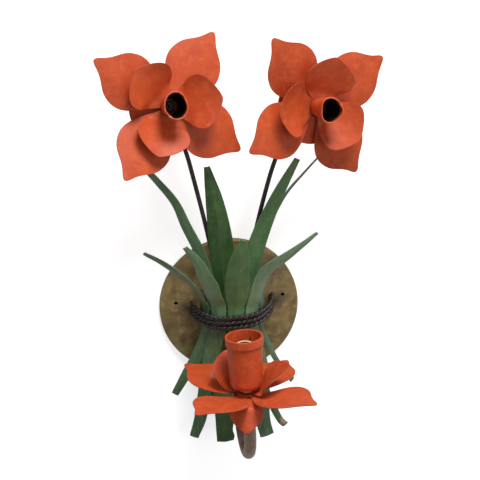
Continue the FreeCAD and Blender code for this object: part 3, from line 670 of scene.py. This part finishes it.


# wall plate: brassy patina with brown patches and painted highlights near the rim, smoked where the tie
# and the arm are brazed on

plateLook = {
    "scale": 30.0,
    "base": srgb(154, 134, 86),
    "dark": srgb(118, 100, 64),
    "light": srgb(180, 158, 104),
    "edge": srgb(126, 124, 116),
    "rough": 0.48,
    "metal": 0.12,
    "wear": 0.8,
    "bevel": 1.2 * mm,
    "bump": 0.22,
    "rust": srgb(82, 58, 36),
    # colour of the painted highlights near the rim
    "plateHighlight": srgb(186, 158, 92),
    "smokeAndShade": srgb(44, 38, 32),
    "fine": 90.0,
    "strokeAmount": 0.3,
    "stroke": srgb(96, 80, 48),
}
plateBrushed = Vector((0.25, 0.0, 1.0)).normalized()
plateMark = {"node": "wall_plate", "core": 0.1, "ragged": 1.1}
plateMarks = [  # what the photograph shows at a pixel of the plate, and how far it reaches
    {"pixel": (189, 309), "reach": (15, 20, 14), "tone": "smokeAndShade", "amount": 0.9},
    {"pixel": (274, 301), "reach": (15, 20, 14), "tone": "smokeAndShade", "amount": 0.9},
    {"pixel": (283, 296), "reach": (10, 12, 9), "tone": "smokeAndShade", "amount": 0.5},
    {"pixel": (192, 270), "reach": (14, 16, 16), "tone": "smokeAndShade", "amount": 0.5},
    {"pixel": (272, 262), "reach": (12, 14, 16), "tone": "rust", "amount": 0.6},
    {"pixel": (183, 341), "reach": (7, 12, 12), "tone": "rust", "amount": 0.7},
    {"pixel": (174, 290), "reach": (5, 12, 18), "tone": "rust", "amount": 0.5},
    # painted highlights where the dome turns up to the light along its rim
    {"pixel": (268, 251), "reach": (14, 14, 6), "tone": "plateHighlight", "amount": 0.7},
    {"pixel": (188, 262), "reach": (8, 14, 10), "tone": "plateHighlight", "amount": 0.6},
    {"pixel": (238, 246), "reach": (8, 14, 4), "tone": "plateHighlight", "amount": 0.8},
    {"pixel": (286, 318), "reach": (6, 14, 16), "tone": "plateHighlight", "amount": 0.4},
]


def platePatina():
    coat = startCoat("platePatina", plateLook)
    addStrokes(coat, plateBrushed)
    for mark in plateMarks:
        addMarks(coat, [plateMark | mark])
    return finishCoat(coat)


dress(nodesOf("plate_paint"), platePatina())
print("plate patinated")


# the two stems: dark brown

stemLook = {
    "scale": 40.0,
    "base": srgb(50, 44, 38),
    "dark": srgb(34, 30, 26),
    "light": srgb(70, 62, 54),
    "edge": srgb(90, 82, 74),
    "rough": 0.45,
}
dress(nodesOf("stem_paint"), plainCoat("stemPaint", stemLook))

# studs, their nuts and the spacers in the trumpets: nearly black

nearBlackLook = dict(
    stemLook,
    base=srgb(24, 19, 17),
    dark=srgb(14, 11, 10),
    light=srgb(36, 29, 25),
    edge=srgb(44, 36, 31),
)
dress(nodesOf("dark_paint"), plainCoat("nearBlackPaint", nearBlackLook))

# arm and collar: taupe, with painted shade turning the back leg almost black towards the wall

armLook = {
    "scale": 40.0,
    "base": srgb(150, 122, 104),
    "dark": srgb(124, 100, 84),
    "light": srgb(170, 144, 126),
    "edge": srgb(150, 130, 116),
    "rough": 0.38,
    # painted shade on the back leg, behind the leaves
    "smokeAndShade": srgb(34, 28, 25),
    "shadeFrom": -66.0,
    "shadeTo": -50.0,
    "shadeAmount": 0.92,
}


def armPaint():
    coat = startCoat("armPaint", armLook)
    tree = coat["tree"]
    depth = put(tree, "ShaderNodeSeparateXYZ", {0: surfacePlace(tree)}).outputs["Y"]
    low, high = armLook["shadeFrom"] * mm, armLook["shadeTo"] * mm
    # painted shade, darker towards the wall
    shadedLeg = spread(tree, depth, low, high, 0.0, armLook["shadeAmount"])
    coat["colour"] = blendColours(tree, shadedLeg, coat["colour"], armLook["smokeAndShade"])
    return finishCoat(coat)


dress(nodesOf("arm_paint"), armPaint())
print("stems and arm painted")


# lamp socket, leads and threaded pieces

steelLook = {
    "scale": 120.0,
    "base": srgb(176, 174, 168),
    "dark": srgb(140, 138, 132),
    "light": srgb(196, 194, 188),
    "edge": srgb(210, 208, 204),
    "rough": 0.35,
    "metal": 0.9,
}
porcelainLook = {
    "scale": 60.0,
    "base": srgb(226, 208, 172),
    "dark": srgb(210, 190, 152),
    "light": srgb(236, 222, 192),
    "edge": srgb(240, 230, 208),
    "rough": 0.25,
    "bump": 0.05,
}
brassLook = {
    "scale": 100.0,
    "base": srgb(190, 156, 88),
    "dark": srgb(160, 126, 66),
    "light": srgb(210, 178, 110),
    "edge": srgb(226, 200, 140),
    "rough": 0.3,
    "metal": 0.95,
}
darkSleeveLook = {
    "scale": 100.0,
    "base": srgb(40, 40, 40),
    "dark": srgb(28, 28, 28),
    "light": srgb(56, 56, 56),
    "edge": srgb(70, 70, 70),
    "rough": 0.6,
}
paleSleeveLook = {
    "scale": 100.0,
    "base": srgb(214, 212, 206),
    "dark": srgb(196, 192, 184),
    "light": srgb(226, 224, 220),
    "edge": srgb(232, 230, 226),
    "rough": 0.6,
}
dress(nodesOf("plated_steel"), plainCoat("platedSteel", steelLook))
dress(nodesOf("porcelain"), plainCoat("glazedPorcelain", porcelainLook))
dress(nodesOf("brass_contact"), plainCoat("contactBrass", brassLook))
dress(nodesOf("lead_sleeve_dark"), plainCoat("darkSleeve", darkSleeveLook))
dress(nodesOf("lead_sleeve_pale"), plainCoat("paleSleeve", paleSleeveLook))
print("socket and leads finished")


# three hoops of twisted wire, oiled black iron

tieLook = {
    "scale": 90.0,
    "base": srgb(44, 34, 33),
    "dark": srgb(24, 18, 18),
    "light": srgb(72, 60, 58),
    "edge": srgb(98, 82, 82),
    "rough": 0.36,
    "wear": 0.4,
}
tie = {
    "radius": 2.9 * mm,
    "pitch": 5.9,
    "level": 5.0,
    "left": -44.5,
    "right": 50.5,
    "front": -52.06,
    "ends": (-6.0, -4.0),
    "shoulders": (1.5, 3.0),
    "corners": (22.5, 25.0),
    "slope": (0.06, 0.22),
    "pivot": (6.0, -12.0),
    "strands": 2,
    "strandShare": 0.56,
    "coilShare": 0.46,
    "turn": 13.0,
    "phase": 1.3,
    "spacing": 1.0 * mm,
}


def easyPath(points, spacing, share=0.45):  # straight runs joined by easy arcs
    line = [points[0]]
    for before, corner, after in zip(points, points[1:], points[2:]):
        inward = (before - corner).normalized()
        outward = (after - corner).normalized()
        half = (math.pi - inward.angle(outward)) / 2
        setback = share * min((before - corner).length, (after - corner).length)
        radius = setback / math.tan(half)
        bisector = (inward + outward).normalized()
        centre = corner + bisector * (radius / math.cos(half))
        first = corner + inward * setback - centre
        last = corner + outward * setback - centre
        sweep = first.angle(last)
        axis = first.cross(last).normalized()
        steps = max(2, int(sweep * radius / spacing))
        for step in range(steps + 1):
            line.append(centre + Matrix.Rotation(sweep * step / steps, 3, axis) @ first)
    line.append(points[-1])
    return line


def resample(line, spacing):
    even = [line[0]]
    left = spacing
    for start, end in zip(line, line[1:]):
        run = (end - start).length
        done = 0.0
        while run - done >= left:
            done += left
            even.append(start.lerp(end, done / run))
            left = spacing
        left -= run - done
    even.append(line[-1])
    return even


def hoopLine(lift):  # from one end on the plate round the leaves to the other, a little tilted
    left, right, front = tie["left"], tie["right"], tie["front"]
    middle = front / 2 - 1
    plan = [
        (left, tie["ends"][0]),
        (left + tie["shoulders"][0], middle),
        (left + tie["corners"][0], front),
        (right - tie["corners"][1], front),
        (right - tie["shoulders"][1], middle),
        (right, tie["ends"][1]),
    ]
    points = []
    for x, y in plan:
        tilt = tie["slope"][0] * (x - tie["pivot"][0]) + tie["slope"][1] * (y - tie["pivot"][1])
        points.append(Vector((x, y, tie["level"] + lift + tilt)) * mm)
    return resample(easyPath(points, tie["spacing"]), tie["spacing"])


def addTwist(name, line, phase, material):
    curve = bpy.data.curves.new(name, "CURVE")
    curve.dimensions = "3D"
    curve.bevel_depth = tie["radius"] * tie["strandShare"]
    curve.bevel_resolution = 4
    reach = tie["radius"] * tie["coilShare"]
    up = Vector((0, 0, 1))
    for strand in range(tie["strands"]):
        spline = curve.splines.new("POLY")
        spline.points.add(len(line) - 1)
        for index, point in enumerate(line):
            along = (line[min(index + 1, len(line) - 1)] - line[max(index - 1, 0)]).normalized()
            side = along.cross(up).normalized()
            top = side.cross(along)
            turn = 2 * math.pi * (index / tie["turn"] + strand / tie["strands"]) + phase
            offset = side * math.cos(turn) * reach + top * math.sin(turn) * reach
            spline.points[index].co = (*(point + offset), 1.0)
    curve.materials.append(material)
    piece = bpy.data.objects.new(name, curve)
    scene.collection.objects.link(piece)
    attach(piece, body)
    return piece


tieMaterial = plainCoat("tieIron", tieLook)
for name, turn in (("tie_upper", 1), ("tie_middle", 0), ("tie_lower", -1)):
    dress([name], tieMaterial)
    line = hoopLine(turn * tie["pitch"])
    piece = addTwist(name + "_strands", line, turn * tie["phase"], tieMaterial)
    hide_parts(name)
print("ties twisted")


# wall, light and background

stage = {
    "wall": srgb(246, 246, 247),
    "shade": srgb(12, 12, 12),
    "underPlate": 70.0,
    "glow": 0.62,
    "world": 0.3,
    "half": 6.0,
    "behind": 0.6 * mm,
}


def wallPaper():  # pale, but dark under the plate, where its screw holes look in
    material = bpy.data.materials.new("wallPaper")
    material.use_nodes = True
    tree = material.node_tree
    shader = tree.nodes["Principled BSDF"]
    far = vectors(tree, "LENGTH", surfacePlace(tree))
    clear = maths(tree, "GREATER_THAN", far, stage["underPlate"] * mm)
    colour = blendColours(tree, clear, stage["shade"], stage["wall"])
    tree.links.new(colour, shader.inputs["Base Color"])
    shader.inputs["Roughness"].default_value = 0.9
    shader.inputs["Emission Color"].default_value = (1, 1, 1, 1)
    seen = put(tree, "ShaderNodeLightPath").outputs["Is Camera Ray"]
    glow = maths(tree, "MULTIPLY", maths(tree, "MULTIPLY", seen, clear), stage["glow"])
    tree.links.new(glow, shader.inputs["Emission Strength"])
    return material


def addWall():
    half, behind = stage["half"], stage["behind"]
    corners = [(-half, behind, -half), (half, behind, -half), (half, behind, half), (-half, behind, half)]
    mesh = bpy.data.meshes.new("wall")
    mesh.from_pydata(corners, [], [(0, 1, 2, 3)])
    mesh.materials.append(wallPaper())
    wall = bpy.data.objects.new("wall", mesh)
    scene.collection.objects.link(wall)


lamps = {
    "keyLight": {"place": (0.4, -1.15, 2.5), "target": (0.0, -0.06, 0.1), "width": 1.0, "power": 76.0},
    "fillLight": {"place": (0.9, -1.8, 0.3), "target": (0.0, -0.05, 0.1), "width": 1.0, "power": 6.0},
}


def addLamp(name, lamp):
    data = bpy.data.lights.new(name, "AREA")
    data.shape = "RECTANGLE"
    data.size = lamp["width"]
    data.size_y = lamp["width"]
    data.energy = lamp["power"]
    light = bpy.data.objects.new(name, data)
    light.location = lamp["place"]
    aim = Vector(lamp["target"]) - Vector(lamp["place"])
    light.rotation_euler = aim.to_track_quat("-Z", "Y").to_euler()
    scene.collection.objects.link(light)


def addWorld():
    world = bpy.data.worlds.new("studio")
    world.use_nodes = True
    background = world.node_tree.nodes["Background"]
    background.inputs["Color"].default_value = (1, 1, 1, 1)
    background.inputs["Strength"].default_value = stage["world"]
    scene.world = world


addWall()
for name, lamp in lamps.items():
    addLamp(name, lamp)
addWorld()
scene.view_settings.view_transform = "Standard"
print("stage set")
